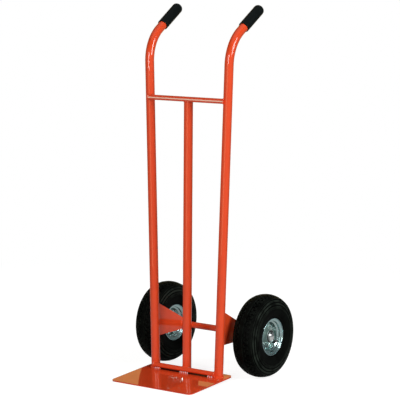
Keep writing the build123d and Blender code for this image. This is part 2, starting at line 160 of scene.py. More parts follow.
class TruckStageSettings(bpy.types.PropertyGroup):
    """Camera and light of the studio."""

    azimuth: angle("Azimuth", "Of the camera, round from straight in front", 35.9585)
    distance: length("Distance", "Of the camera from the origin, over the floor", 5339.611)
    height: length("Height", "Of the camera above the floor", 1258.057)
    pitch: angle("Pitch", "Of the camera below level", 7.4996)
    roll: angle("Roll", "Of the camera", 0.3953)
    yaw: angle("Yaw", "Of the camera from the origin", -0.3992)
    focal: number("Focal length", "In image widths", 1751.554 / 400)
    ambient: number("Ambient", "Light from all round", 0.07)
    room: colour("Room", "What mirrors see of the room behind the camera", "#9A9C9C")
    wings: colour("Wings", "What mirrors see to the sides", "#6E7272")
    cloth: colour("Backcloth", "What mirrors see behind the truck", "#DAC47A")
    ceiling: colour("Ceiling", "What mirrors see above the walls", "#242526")
    skylight: colour("Skylight", "What mirrors see overhead", "#B4B6B6")
    key: number("Key", "Power of the side softbox in watts", 158.0)
    lamp: number("Front", "Power of the front softbox in watts", 78.0)
    card: number("Card", "Power of the low panel in front in watts", 5.0)
    back: number("Back lamp", "Power of the lamp behind in watts", 115.0)
    floor: colour("Floor", "Paint of the studio floor", "#969694")


# Shapes


def unit(vectors):
    """Vectors scaled to length one."""
    return vectors / np.linalg.norm(vectors, axis=-1, keepdims=True)


def all_round(count):
    """Angles evenly round a circle."""
    return np.linspace(0, TURN, count, endpoint=False)


def turned(x, radius, t):
    """Points round the X axis: x, radius times cos t and radius times sin t."""
    x, radius, t = np.broadcast_arrays(x, radius, t)
    return np.stack([x, radius * np.cos(t), radius * np.sin(t)], -1)


def rounded(corners, radii, steps=6):
    """A closed outline whose corners are arcs.

    Each arc's centre lies on its corner's bisector, at the radius over the sine of the half angle,
    and its points swing evenly from one tangent point to the other. A point beside each of its ends,
    up to a radius away, lets the straight sides shade as straight.
    """
    point, radius = np.array(corners, float), np.array(radii, float)[:, None]
    last, following = np.roll(point, 1, 0) - point, np.roll(point, -1, 0) - point
    back, ahead = unit(last), unit(following)
    half = np.arccos((back * ahead).sum(1, keepdims=True)) / 2
    centre = point + unit(back + ahead) * radius / np.sin(half)
    reach = radius / np.tan(half)
    start, end = point + back * reach, point + ahead * reach
    sweep = np.pi - 2 * half[:, None]
    along = np.linspace(0, 1, steps + 1)[None, :, None]
    leaving = np.sin((1 - along) * sweep) * (start - centre)[:, None]
    arc = centre[:, None] + (leaving + np.sin(along * sweep) * (end - centre)[:, None]) / np.sin(sweep)
    free = np.linalg.norm(following, axis=1, keepdims=True) - reach - np.roll(reach, -1, 0)
    before = start + back * np.clip(0.3 * np.roll(free, 1, 0), 0, radius)
    after = end + ahead * np.clip(0.3 * free, 0, radius)
    return np.concatenate([before[:, None], arc, after[:, None]], 1).reshape(-1, 2)


def rounded_box(start, end, low, high, radii, steps=6):
    """A rectangle with rounded corners, from its low corner at the start, up and over to the end."""
    return rounded([(start, low), (start, high), (end, high), (end, low)], radii, steps)


def side_normals(line, closed):
    """Mitred normals of a flat line, to the right of its run, so that an offset keeps its sides parallel."""
    step = unit(np.roll(line, -1, 0) - line)
    if not closed:
        step[-1] = step[-2]
    before = np.roll(step, 1, 0)
    if not closed:
        before[0] = step[0]
    ahead, behind = step[:, ::-1] * (1, -1), before[:, ::-1] * (1, -1)
    return (ahead + behind) / (1 + (ahead * behind).sum(1, keepdims=True))


def lathe(profile, origin, axis=(1, 0, 0), steps=72):
    """A profile of (along, radius) turned round an axis.

    Point = origin + along times axis + radius times (cos t times u + sin t times v),
    with u and v square to the axis.
    """
    axis = unit(np.array(axis, float))
    across = unit(np.cross(axis, (0, 0, 1) if abs(axis[2]) < 0.9 else (0, 1, 0)))
    other = np.cross(axis, across)
    t = all_round(steps)[None, :, None]
    along, radius = profile[:, 0, None, None], profile[:, 1, None, None]
    return np.array(origin) + along * axis + radius * (np.cos(t) * across + np.sin(t) * other)


def bar_grid(node, edge, bore=0, steps=72):
    """A bar or sleeve along X with the outer size of its solid, its bore if it has one, and rounded edges."""
    start, end, radius = round_size(node)
    mouth = edge if bore else 0
    profile = rounded_box(start, end, bore, radius, [mouth, edge, edge, mouth], 3 if bore else 6)
    return lathe(profile, (0, *middle(node)[1:]), steps=steps)


def capped(grid):
    """A grid of rings with its first and last ring closed by a point at the middle."""
    ends = np.broadcast_to(grid[[0, -1]].mean(1, keepdims=True), (2,) + grid.shape[1:])
    return np.concatenate([ends[:1], grid, ends[1:]])


def slab(outline, thickness, edge, steps=5):
    """A flat convex plate with rounded edges, as (u, v, height) with its middle plane at height zero.

    The outline is drawn in towards the middle by edge times (1 - cos a) while the height falls from half
    the thickness by edge times (1 - sin a), once for the upper edge and once mirrored for the lower.
    """
    a = np.linspace(np.pi / 2, 0, steps)
    # One ring further in keeps the flat faces flat to the light
    inset = np.concatenate([[edge * 1.6], edge * (1 - np.cos(a))])
    height = np.concatenate([[thickness / 2], thickness / 2 - edge * (1 - np.sin(a))])
    inset = np.concatenate([inset, inset[::-1]])[:, None, None]
    height = np.concatenate([height, -height[::-1]])[:, None, None]
    rings = outline - side_normals(outline, True) * inset
    return capped(np.concatenate([rings, np.broadcast_to(height, rings.shape[:2] + (1,))], 2))


def patch(points, close_rows=True):
    """Four-sided faces over a grid of points, joined round its columns, and round its rows where asked."""
    rows, columns = points.shape[:2]
    index = np.arange(rows * columns).reshape(rows, columns)
    index = np.concatenate([index, index[:, :1]], 1)
    if close_rows:
        index = np.concatenate([index, index[:1]])
    faces = np.stack([index[:-1, :-1], index[:-1, 1:], index[1:, 1:], index[1:, :-1]], -1)
    return points.reshape(-1, 3), faces.reshape(-1, 4)


def bead(path, size, ripple, out, closed=False, steps=10):
    """A weld bead: a circle carried along a path, swelling and shrinking with each ripple.

    Radius = size times (1 - 0.22 |cos(pi s / ripple)|) at distance s, drawn to a point at open ends.
    """
    if closed:
        tangent = unit(np.roll(path, -1, 0) - np.roll(path, 1, 0))
        run = np.linalg.norm(np.roll(path, -1, 0) - path, axis=1)
        s = np.cumsum(run) - run[0]
        ripple = run.sum() / max(1, round(run.sum() / ripple))
        taper = 1.0
    else:
        tangent = unit(np.gradient(path, axis=0))
        s = np.concatenate([[0], np.cumsum(np.linalg.norm(np.diff(path, axis=0), axis=1))])
        nearest = np.minimum(s, s[-1] - s) / size
        taper = np.sqrt(np.clip(nearest * (2 - nearest), 0, 1)) * (nearest < 1) + (nearest >= 1)
    radius = (size * (1 - 0.22 * np.abs(np.cos(np.pi * s / ripple))) * taper)[:, None, None]
    first = np.broadcast_to(np.array(out, float), path.shape)
    first = unit(first - (first * tangent).sum(1, keepdims=True) * tangent)
    second = np.cross(tangent, first)
    t = all_round(steps)[None, :, None]
    return patch(path[:, None] + radius * (np.cos(t) * first[:, None] + np.sin(t) * second[:, None]), closed)


def make_piece(name, patches, finish, body, slot, *nodes, crease=32, dust_and_painted_light=None):
    """One mesh from patches: doubles merged, faces outward, smooth but for edges sharper than the crease.

    A share of dust and painted light, from 0 in a groove to 1 on top, is kept with each point for the finish.
    """
    points = np.concatenate([part for part, _ in patches])
    starts = np.cumsum([0] + [len(part) for part, _ in patches])
    faces = np.concatenate([part + start for (_, part), start in zip(patches, starts)])
    mesh = bpy.data.meshes.new(name)
    mesh.from_pydata(points.tolist(), [], faces.tolist())
    if dust_and_painted_light is not None:
        kept = mesh.attributes.new("dust_and_painted_light", "FLOAT", "POINT")
        kept.data.foreach_set("value", dust_and_painted_light.astype(np.float32).ravel())
    shape = bmesh.new()
    shape.from_mesh(mesh)
    bmesh.ops.remove_doubles(shape, verts=shape.verts, dist=0.002 * MM)
    bmesh.ops.recalc_face_normals(shape, faces=shape.faces)
    shape.to_mesh(mesh)
    shape.free()
    mesh.shade_smooth()
    mesh.set_sharp_from_angle(angle=np.radians(crease))
    mesh.materials.append(finish)
    item = bpy.data.objects.new(name, mesh)
    bpy.context.scene.collection.objects.link(item)
    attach(item, body)
    if nodes:
        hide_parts(*nodes)


def dress(node, finish):
    """Gives a solid that stays its finish."""
    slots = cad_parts[node].data.materials
    slots.clear()
    slots.append(finish)


# Finishes


def add(tree, kind, inputs=None, out=0, **settings):
    """Adds a node with its settings, gives its inputs values or links, and returns one of its outputs."""
    node = tree.nodes.new("ShaderNode" + kind)
    for key, value in settings.items():
        setattr(node, key, value)
    for key, value in (inputs or {}).items():
        if isinstance(value, bpy.types.NodeSocket):
            tree.links.new(value, node.inputs[key])
        else:
            node.inputs[key].default_value = value
    return node.outputs[out] if node.outputs else None


def new_finish(name, *patterns):
    """A cleared material, its tree and object coordinates, and a noise for each patch size and detail."""
    material = bpy.data.materials.new(name)
    material.use_nodes = True
    tree = material.node_tree
    tree.nodes.clear()
    place = add(tree, "TexCoord", out="Object")
    inputs = [{"Vector": place, "Scale": 1 / size, "Detail": detail} for size, detail in patterns]
    return material, tree, place, *(add(tree, "TexNoise", each) for each in inputs)


def surface(material, height, distance, **inputs):
    """Ends a material with its shader, whose fine relief is a height times a distance."""
    tree = material.node_tree
    names = {key.replace("_", " "): value for key, value in inputs.items()}
    names["Normal"] = add(tree, "Bump", {"Height": height, "Distance": distance, "Strength": 1.0})
    add(tree, "OutputMaterial", {"Surface": add(tree, "BsdfPrincipled", names)})
    return material


def between(tree, factor, low, high):
    """A factor of 0 to 1 spread between two numbers, or two colours, the first of which may be a link."""
    if isinstance(high, float):
        inputs = {"Value": factor, "From Min": 0.3, "From Max": 0.7, "To Min": low, "To Max": high}
        return add(tree, "MapRange", inputs)
    low = low if isinstance(low, bpy.types.NodeSocket) else (*low, 1.0)
    return add(tree, "Mix", {0: factor, 6: low, 7: (*high, 1.0)}, 2, data_type="RGBA")


def off_axis(tree, place, point):
    """Distance from a line along X through a point."""
    moved = add(tree, "Mapping", {"Vector": place, "Location": [-float(part) for part in point]})
    flat = add(tree, "VectorMath", {0: moved, 1: (0.0, 1.0, 1.0)}, operation="MULTIPLY")
    return add(tree, "VectorMath", {0: flat}, "Value", operation="LENGTH")


def near(tree, place, point, far, close):
    """A share that rises smoothly from 0 to 1 as the distance from a line along X falls from far to close."""
    inputs = {"Value": off_axis(tree, place, point), "From Min": far, "From Max": close}
    return add(tree, "MapRange", inputs, interpolation_type="SMOOTHSTEP")


def enamel_finish(settings):
    """Stoved enamel over welded steel."""
    found = bpy.data.materials.get("stoved_enamel")
    if found:
        return found
    # A thick baked film that flows out wet: a mirror under a slight orange peel, a little deeper where thin.
    # Film thickness drifts over about 45 mm. Orange peel is 2 mm in life, and 6 mm here to show.
    material, tree, place, film, peel = new_finish("stoved_enamel", (45 * MM, 2.0), (6 * MM, 1.0))
    # Painted shade: darker red-brown and without coat in the corner under the lower bar, between the rails
    y = middle("lower_crossbar")[1]
    corner = near(tree, place, (0, y, on_plate(y)), 11 * MM, 6 * MM)
    sideways = add(tree, "SeparateXYZ", {0: add(tree, "VectorMath", {0: place}, operation="ABSOLUTE")})
    foot = settings.foot_spacing / 2
    inside = add(tree, "Math", {0: sideways, 1: foot - 10 * MM}, operation="LESS_THAN")
    painted_shade = add(tree, "Math", {0: corner, 1: inside}, operation="MULTIPLY")
    # Painted highlight: a pale line along the front of the upper bar
    front = middle("upper_crossbar") - (0, round_size("upper_crossbar")[2], 0)
    painted_highlight_line = near(tree, place, front, 2.8 * MM, 0.4 * MM)
    tone = between(tree, film, settings.enamel, settings.enamel_deep)
    # Painted shade under the lower bar
    tone = between(tree, painted_shade, tone, linear("#5C1B14"))
    return surface(
        material,
        peel,
        0.02 * MM,
        # The pale colour of the painted highlight
        Base_Color=between(tree, painted_highlight_line, tone, linear("#F3CDB8")),
        Roughness=between(tree, film, 0.3, 0.38),
        IOR=1.5,
        Specular_IOR_Level=0.02,
        Coat_Weight=between(tree, painted_shade, 1.0, 0.0),
        Coat_Roughness=0.02,
        Coat_IOR=1.5,
    )


def crest_finish(settings):
    """Enamel over the ripples of a weld, with a painted glint on each crest."""
    # Orange in the hollows, and a painted highlight of pale lilac on each crest.
    material, tree, _, speck = new_finish("enamel_on_weld_with_painted_glints", (3 * MM, 2.0))
    dust_and_painted_light = add(tree, "Attribute", out="Fac", attribute_name="dust_and_painted_light")
    tone = between(tree, dust_and_painted_light, settings.enamel, linear("#EBD5E0"))
    rough = between(tree, speck, 0.2, 0.34)
    coat = {"Coat_Weight": 1.0, "Coat_Roughness": 0.04}
    return surface(material, speck, 0.05 * MM, Base_Color=tone, Roughness=rough, IOR=1.5, **coat)


def rubber_finish(settings):
    """Moulded carbon-black tyre rubber."""
    # Matt black, grey with wax and dust on the ridges, with painted shade in the grooves and a painted
    # highlight on their lips, over a fine moulded grain.
    # Grain is 0.5 mm in life, and 2 mm here to show.
    material, tree, _, cloud, grain = new_finish("tyre_rubber_moulded", (24 * MM, 4.0), (2 * MM, 2.0))
    inputs = {"Value": cloud, "From Min": 0.36, "From Max": 0.66, "To Min": 0.15, "To Max": 1.15}
    patchy = add(tree, "MapRange", inputs)
    dust_and_painted_light = add(tree, "Attribute", out="Fac", attribute_name="dust_and_painted_light")
    dust_and_painted_light = add(tree, "Math", {0: dust_and_painted_light, 1: 2.6}, operation="POWER")
    bloom = add(tree, "Math", {0: patchy, 1: dust_and_painted_light}, operation="MULTIPLY")
    # Dust grey and painted highlight on the ridges, painted shade black in the grooves
    tone = between(tree, bloom, settings.rubber, settings.bloom)
    look = {"Roughness": between(tree, cloud, 0.46, 0.6), "IOR": 1.52, "Specular_IOR_Level": 0.025}
    return surface(material, grain, 0.12 * MM, Base_Color=tone, **look)


def zinc_finish(name, settings, rough):
    """Zinc plate over pressed or turned steel."""
    # Bright bluish metal: passivation drifts from silver to blue-green, over fine rings left by the press.
    material, tree, place, tint = new_finish(name, (22 * MM, 3.0))
    reach = off_axis(tree, place, middle("right_tyre"))
    # The rolled edge, far from the axle, keeps the most tint
    edge = add(tree, "MapRange", {"Value": reach, "From Min": 30 * MM, "From Max": 58 * MM})
    hue = add(tree, "Math", {0: tint, 1: edge}, operation="MULTIPLY")
    # Press rings are 0.3 mm apart in life, and about 1.2 mm here to show.
    rings = add(tree, "TexNoise", {"W": reach, "Scale": 1 / (1.2 * MM)}, noise_dimensions="1D")
    tone = between(tree, hue, settings.zinc, settings.zinc_tint)
    gloss = between(tree, tint, rough, rough + 0.1)
    return surface(material, rings, 0.015 * MM, Base_Color=tone, Metallic=1.0, Roughness=gloss)


# Small pieces: the size of their patches in millimetres, their two tones, their least roughness,
# the height of their grain in millimetres and the shader's own values
PLAIN = {
    # Inner tube: smooth, dull rubber
    "butyl_rubber_tube": (30, "#171817", "#1E1F1D", 0.5, 0.05, {"IOR": 1.5}),
    # Axle cap: a clean mirror, a little soft
    "bright_plated_cap": (12, "#F1F3F3", "#E4E8E8", 0.05, 0.004, {"Metallic": 1.0}),
    # Nylon: moulded, with a dull sheen
    "black_nylon_moulding": (10, "#0D0E0E", "#151616", 0.42, 0.03, {"IOR": 1.53}),
    "white_nylon_cage": (10, "#D8D4C8", "#CFCABC", 0.45, 0.03, {"IOR": 1.53}),
    # Rollers: ground, and less bright than the cap
    "ground_bearing_steel": (10, "#B4B4B2", "#A2A3A3", 0.15, 0.004, {"Metallic": 1.0}),
    # Valve: black rubber with a dull skin, under a harder, shinier cap
    "valve_rubber_moulding": (8, "#0C0D0D", "#141514", 0.5, 0.03, {"IOR": 1.52}),
    "valve_cap_plastic": (8, "#0A0B0B", "#101111", 0.32, 0.02, {"IOR": 1.5}),
}


def plain_finish(name):
    """A moulded or turned piece: tones and roughness drift over its patches, under a fine grain."""
    size, one, other, rough, relief, inputs = PLAIN[name]
    material, tree, _, cloud, grain = new_finish(name, (size * MM, 2.0), (1.2 * MM, 2.0))
    tone = between(tree, cloud, linear(one), linear(other))
    gloss = between(tree, cloud, rough, rough + 0.08)
    return surface(material, grain, relief * MM, Base_Color=tone, Roughness=gloss, **inputs)


def grip_finish(settings):
    """Dip-moulded soft PVC."""
    # A soft black sleeve with a satin skin and a faint moulded grain.
    # Grain is 0.4 mm in life, and 1.5 mm here to show.
    material, tree, _, cloud, grain = new_finish("soft_pvc", (18 * MM, 2.0), (1.5 * MM, 2.0))
    tone = between(tree, cloud, settings.grip, 1.6 * settings.grip)
    look = {"Roughness": between(tree, cloud, 0.34, 0.44), "IOR": 1.53, "Specular_IOR_Level": 0.08}
    return surface(material, grain, 0.02 * MM, Base_Color=tone, **look)


# Frame


def lean(points, side):
    """Points round an upright rail with its foot at the origin, turned by the splay and moved to a side."""
    settings = bpy.context.scene.truck_frame
    c, s = np.cos(settings.splay), np.sin(settings.splay) * side
    x, y, z = points[..., 0], points[..., 1], points[..., 2]
    return np.stack([side * settings.foot_spacing / 2 + x * c + z * s, y, z * c - x * s], -1)


def rail_line():
    """Centre line of an upright rail, as (y, z): straight up, an arc backward, straight to the end."""
    settings = bpy.context.scene.truck_frame
    turn = np.pi / 2 - settings.rise
    tangent = settings.bend_radius * np.tan(turn / 2)
    top = settings.corner - tangent
    straight = np.linspace(0, top, 30)
    t = np.linspace(0, turn, 45)[1:]
    bend = np.stack([settings.bend_radius * (1 - np.cos(t)), top + settings.bend_radius * np.sin(t)], 1)
    forward = np.array([np.cos(settings.rise), np.sin(settings.rise)])
    handle = bend[-1] + np.linspace(0, settings.reach - tangent, 8)[1:, None] * forward
    return np.concatenate([np.stack([0 * straight, straight], 1), bend, handle])


def tube_radius():
    """Outer radius of the rails and the post."""
    low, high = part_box("centre_post")
    return (high.x - low.x) / 2


def on_plate(y):
    """Height of the toe plate's upper face: sheet / cos tilt + the way back from the nose times tan tilt."""
    settings = bpy.context.scene.truck_frame
    tilt = settings.plate_tilt
    return settings.plate_sheet / np.cos(tilt) + (y + settings.plate_front) * np.tan(tilt)


def rail_grid(side):
    """A rail: circles square to its centre line, the lowest cut to lie on the toe plate."""
    line = rail_line()
    tangent = unit(np.gradient(line, axis=0))
    t = all_round(64)
    radius = tube_radius()
    y = line[:, :1] - radius * tangent[:, 1:] * np.sin(t)
    z = line[:, 1:] + radius * tangent[:, :1] * np.sin(t)
    grid = lean(np.stack([np.broadcast_to(radius * np.cos(t), y.shape), y, z], -1), side)
    axis = lean(np.array([0.0, 0.0, 1.0]), side) - lean(np.zeros(3), side)
    grid[0] += ((on_plate(grid[0, :, 1]) - grid[0, :, 2]) / axis[2])[:, None] * axis
    return capped(grid)


def enamelled(settings):
    """What the painted pieces of the frame have in common: their finish, body and slot."""
    return enamel_finish(settings), "frame", "orange_enamel"


class HANDTRUCK_OT_frame_tubes(bpy.types.Operator):
    """Build the two bent rails, the centre post and the two crossbars"""

    bl_idname = "hand_truck.frame_tubes"
    bl_label = "Rails, Post and Crossbars"

    def execute(self, context):
        settings = context.scene.truck_frame
        painted = enamelled(settings)
        for name, side in SIDES:
            make_piece(f"{name}_rail_tube", [patch(rail_grid(side), False)], *painted, f"{name}_rail")
        low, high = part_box("centre_post")
        radius = tube_radius()
        wall = rounded_box(low.z, high.z, radius - settings.tube_wall, radius, [0.3 * MM] * 4, 3)
        post = lathe(wall, (0, 0, 0), (0, 0, 1), 64)
        # The post's foot is cut to lie on the toe plate
        post[..., 2] += (on_plate(post[..., 1]) - low.z) * (post[..., 2] < high.z / 2)
        make_piece("centre_post_tube", [patch(post)], *painted, "centre_post")
        for name in BARS:
            make_piece(f"{name}_rod", [patch(bar_grid(name, MM, steps=48))], *painted, name)
        return {"FINISHED"}


class HANDTRUCK_OT_toe_plate(bpy.types.Operator):
    """Build the flat toe plate with its rounded corners"""

    bl_idname = "hand_truck.toe_plate"
    bl_label = "Toe Plate"

    def execute(self, context):
        settings = context.scene.truck_frame
        low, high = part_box("toe_plate")
        c, s = np.cos(settings.plate_tilt), np.sin(settings.plate_tilt)
        depth = (settings.plate_front + settings.plate_rear) / c
        outline = rounded_box(low.x, high.x, 0, depth, [settings.plate_corner] * 4, 12)
        flat = slab(outline, settings.plate_sheet, settings.plate_edge)
        along, up = flat[..., 1], flat[..., 2] + settings.plate_sheet / 2
        grid = np.stack([flat[..., 0], along * c - up * s - settings.plate_front, along * s + up * c], -1)
        make_piece("toe_plate_sheet", [patch(grid, False)], *enamelled(settings), "toe_plate")
        return {"FINISHED"}


def bracket_outline():
    """A bracket in its rail's plane, as (y, height along the rail).

    A level foot and a top that falls from the rail to touch the end circle meet in one corner,
    which that circle, round the axle, rounds off.
    """
    settings = bpy.context.scene.truck_frame
    centre = middle("axle")[1:]
    end = settings.bracket_end
    foot = centre[1] / np.cos(settings.splay) - end
    top = np.array([0, foot + settings.bracket_height])
    away = np.array([centre[0], foot + end]) - top
    slope = np.arctan2(away[1], away[0]) + np.arcsin(end / np.linalg.norm(away))
    start = tube_radius() - settings.tube_wall
    tip = -(top[1] - foot) / np.tan(slope)
    corners = [(start, foot), (start, top[1] + start * np.tan(slope)), (tip, foot)]
    return rounded(corners, [MM, MM, end], 28)


class HANDTRUCK_OT_axle_carrier(bpy.types.Operator):
    """Build the two brackets and the axle that they carry"""

    bl_idname = "hand_truck.axle_carrier"
    bl_label = "Axle and Brackets"

    def execute(self, context):
        settings = context.scene.truck_frame
        painted = enamelled(settings)
        make_piece("axle_bar", [patch(bar_grid("axle", 1.5 * MM, steps=56))], *painted, "axle")
        flat = slab(bracket_outline(), settings.bracket_sheet, 0.7 * MM)[..., [2, 0, 1]]
        for name, side in SIDES:
            node = f"{name}_axle_bracket"
            make_piece(f"{node}_gusset", [patch(lean(flat, side), False)], *painted, node)
        return {"FINISHED"}


class HANDTRUCK_OT_grips(bpy.types.Operator):
    """Build the two round-ended grips"""

    bl_idname = "hand_truck.grips"
    bl_label = "Grips"

    def execute(self, context):
        settings = context.scene.truck_frame
        finish = grip_finish(settings)
        bore = tube_radius() + 0.05 * MM
        outside = bore + settings.grip_wall
        far = settings.grip_length
        deep = far - settings.grip_cap
        corners = [(0, bore), (0, outside), (far, outside), (far, 0), (deep, 0), (deep, bore)]
        sleeve = rounded(corners, [0.6 * MM, 1.2 * MM, 13 * MM, 0, 0, 0], 10)
        mouth = settings.reach + settings.grip_cap - far
        forward = np.array([0, np.cos(settings.rise), np.sin(settings.rise)])
        origin = np.array([0, 0, settings.corner]) + mouth * forward
        for name, side in SIDES:
            grid = lean(lathe(sleeve, origin, forward, 56), side)
            make_piece(f"{name}_grip_sleeve", [patch(grid)], finish, "frame", "black_pvc", f"{name}_grip")
        return {"FINISHED"}


def foot_ring(settings, x, start=0.0, end=TURN):
    """A bead on the toe plate round a tube's foot, whole or between two angles round from +X."""
    radius = tube_radius() + 0.5 * MM
    closed = end - start >= TURN
    t = np.linspace(start, end, int((end - start) * radius / (0.7 * MM)), endpoint=not closed)
    y = radius * np.sin(t)
    path = np.stack([x + radius * np.cos(t), y, on_plate(y) + 0.4 * MM], 1)
    return bead(path, settings.weld_size, settings.ripple, (0, 0, 1), closed)


def bar_end_line(settings, node, side):
    """Where a crossbar meets a rail's skin: the bar's circle, pushed along X to touch the rail's round.

    x = rail - max(sqrt(R^2 - y^2), inset), with y the place across the rail.
    """
    _, end, radius = round_size(node)
    _, y, z = (middle(node) + turned(0, radius, all_round(76))).T
    rail = settings.foot_spacing / 2 + z * np.tan(settings.splay)
    deep = np.sqrt(np.clip(tube_radius() ** 2 - y**2, 0, None))
    return np.stack([side * (rail - np.maximum(deep, rail.mean() - end)), y, z], 1)


class HANDTRUCK_OT_welds(bpy.types.Operator):
    """Build the weld beads of the frame"""

    bl_idname = "hand_truck.welds"
    bl_label = "Welds"

    def execute(self, context):
        settings = context.scene.truck_frame
        painted = enamelled(settings)
        size = 0.75 * settings.weld_size
        beads = []
        for _, side in SIDES:
            beads.append(foot_ring(settings, lean(np.array([0, 0, on_plate(0)]), side)[0]))
            lines = [bar_end_line(settings, node, side) for node in BARS]
            beads += [bead(line, size, settings.ripple, (side, 0, 0), True) for line in lines]
        # The post's foot is open to a torch only behind the lower bar
        beads.append(foot_ring(settings, 0, -0.25, np.pi + 0.25))
        make_piece("frame_weld_beads", beads, *painted, crease=60)
        make_piece("post_weld_beads", self.post_beads(settings, size), *painted, crease=60)
        self.stitches(settings)
        make_piece("bracket_weld_beads", self.bracket_beads(settings), *painted, crease=60)
        return {"FINISHED"}

    def post_beads(self, settings, size):
        """Beads where the post's round meets the undersides and tops of the bars.

        z = bar +- sqrt(r^2 - (y - bar)^2) along the post's circle, for as far as the bar covers it.
        """
        radius = tube_radius()
        beads = []
        for node, way in zip(BARS, (-1, 1)):
            centre = middle(node)
            bar = round_size(node)[2]
            open_angle = np.arccos(-(centre[1] + bar) / radius) * 0.96
            t = np.linspace(-open_angle, open_angle, 60)
            y = -radius * np.cos(t)
            z = centre[2] + way * np.sqrt(np.clip(bar**2 - (y - centre[1]) ** 2, 0, None))
            path = np.stack([radius * np.sin(t), y, z], 1)
            beads.append(bead(path, size, settings.ripple, (0, -1, 0)))
        return beads

    def stitches(self, settings):
        """Short beads in the corner between the lower bar and the toe plate.

        Their painted highlight is sin^4(pi s / ripple), with s the distance along the bead, so each crest has
        a painted glint.
        """
        size, ripple = 1.3 * settings.weld_size, 7 * MM
        y = middle("lower_crossbar")[1] - 0.82 * round_size("lower_crossbar")[2]
        z = on_plate(y) + 0.6 * size
        beads, dust_and_painted_light = [], []
        for start, end in ((-111, -88), (-15, 18), (91, 114)):
            x = np.linspace(start * MM, end * MM, int((end - start) / 0.7))
            beads.append(bead(np.stack(np.broadcast_arrays(x, y, z), 1), size, ripple, (0, 0, 1)))
            # Painted glint: strongest at each ripple's crest
            crest = np.sin(np.pi * (x - x[0]) / ripple) ** 4
            dust_and_painted_light.append(crest.repeat(len(beads[-1][0]) // len(x)))
        look = crest_finish(settings), "frame", "orange_enamel"
        make_piece("toe_plate_stitch_welds", beads, *look, crease=60, dust_and_painted_light=np.concatenate(dust_and_painted_light))

    def bracket_beads(self, settings):
        """Beads down both faces of each bracket at the rail, and round the axle."""
        size, ripple = 0.8 * settings.weld_size, settings.ripple
        height = bracket_outline()[:, 1]
        z = np.linspace(height.min() + 2 * MM, height.max() - 3 * MM, 150)
        face = settings.bracket_sheet / 2
        back = np.sqrt(tube_radius() ** 2 - (face + MM) ** 2) + 0.6 * MM
        axle = middle("axle")
        ring = turned(0, round_size("axle")[2] + 0.4 * MM, all_round(100)) + (0, *axle[1:])
        beads = []
        for _, side in SIDES:
            for way in (-1, 1):
                path = np.stack(np.broadcast_arrays(way * (face + 0.6 * MM), back, z), 1)
                beads.append(bead(lean(path, side), size, ripple, (0, 1, 0)))
            x = lean(np.array([-side * (face + 0.5 * MM), 0, axle[2]]), side)[0]
            beads.append(bead(ring + (x, 0, 0), size, ripple, (1, 0, 0), True))
        return beads


# Wheels


def tread_columns(slots):
    """Angles round the tyre with lines at every slot wall, and there the slots of both rows and the zigzag.

    Each pitch has a slot of the first row at its start and one of the second row at its middle.
    The zigzag is a triangle wave, +1 at the first slot and -1 at the second.
    """
    place = np.array([0, 0.105, 0.13, 0.37, 0.395, 0.5, 0.605, 0.63, 0.87, 0.895])
    first = np.array([1, 1, 0.04, 0, 0, 0, 0, 0, 0.04, 1])
    wave = np.abs(4 * place - 2) - 1
    angles = ((np.arange(slots)[:, None] + place) * TURN / slots).ravel()
    return angles, np.tile(first, slots), np.tile(np.roll(first, 5), slots), np.tile(wave, slots)


